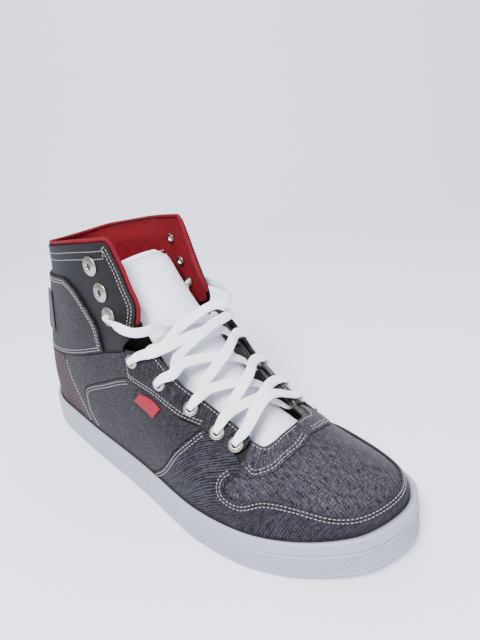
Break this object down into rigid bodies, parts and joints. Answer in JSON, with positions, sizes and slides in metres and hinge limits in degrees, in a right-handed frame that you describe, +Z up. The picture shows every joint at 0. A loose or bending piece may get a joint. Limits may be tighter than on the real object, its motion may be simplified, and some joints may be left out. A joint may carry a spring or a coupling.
{
  "type": "basketball high top",
  "caption": "Right basketball high top with a rubber cupsole, textile panels, padded collar, laced eyelets and a tongue that swings on its sewn end.",
  "frame": {"origin": "bottom centre of the shoe's bounding box, on the ground under the middle of the sole", "axes": "+X from heel to toe, +Y to the inner (medial) side, +Z up"},
  "size_m": [0.3044, 0.1058, 0.1625],
  "materials": {
    "white_rubber": "satin rubber, smooth side wall with a knurled band at the toe",
    "midsole_foam": "matt closed-cell foam",
    "board": "matt fibre board",
    "footbed": "knitted textile over foam",
    "denim": "charcoal chambray, heathered plain weave",
    "twill": "dark denim with a diagonal twill",
    "smooth_leather": "smooth coated synthetic leather",
    "red_lining": "soft crimson knit",
    "black_lining": "matt black knit",
    "foam": "open-cell padding foam",
    "stiffener": "pressed fibre sheet",
    "maroon": "coated maroon textile",
    "white_textile": "fine white woven textile",
    "lace": "flat ribbed white lace",
    "metal": "satin nickel-coloured metal",
    "aglet_plastic": "clear-white glossy plastic",
    "red_tab": "woven red ribbon",
    "embroidery": "grey embroidery"
  },
  "bodies": {
    "shoe": {"outsole_cup": "white_rubber", "midsole_wedge": "midsole_foam", "insole_board": "board", "sockliner": "footbed", "mudguard": "twill", "toe_vamp": "denim", "throat_apron": "denim", "toe_puff": "stiffener", "heel_overlay": "maroon", "heel_counter": "stiffener", "lateral_quarter": "denim", "lateral_rear_quarter": "denim", "lateral_eyestay": "denim", "lateral_ankle_patch": "denim", "lateral_collar": "smooth_leather", "medial_quarter": "denim", "medial_rear_quarter": "denim", "medial_eyestay": "denim", "medial_ankle_patch": "denim", "medial_collar": "smooth_leather", "collar_lining": "red_lining", "collar_piping": "red_lining", "lower_lining": "black_lining", "collar_foam": "foam", "lace": "lace", "lace_tip_lateral": "aglet_plastic", "lace_tip_medial": "aglet_plastic", "lateral_eyelet_1": "metal", "lateral_eyelet_2": "metal", "lateral_eyelet_3": "metal", "lateral_eyelet_4": "metal", "lateral_eyelet_5": "metal", "lateral_eyelet_6": "metal", "lateral_eyelet_7": "metal", "lateral_eyelet_8": "metal", "medial_eyelet_1": "metal", "medial_eyelet_2": "metal", "medial_eyelet_3": "metal", "medial_eyelet_4": "metal", "medial_eyelet_5": "metal", "medial_eyelet_6": "metal", "medial_eyelet_7": "metal", "medial_eyelet_8": "metal", "side_tab": "red_tab", "ankle_badge": "embroidery"},
    "tongue": {"tongue_face": "white_textile", "tongue_foam": "foam", "tongue_lining": "white_textile"}
  },
  "joints": [
    {"name": "tongue_hinge", "type": "hinge", "parent": "shoe", "child": "tongue", "pos_m": [0.0925, 0.00275, 0.048], "axis": [0, -1, 0], "range_deg": [0, 12]}
  ]
}
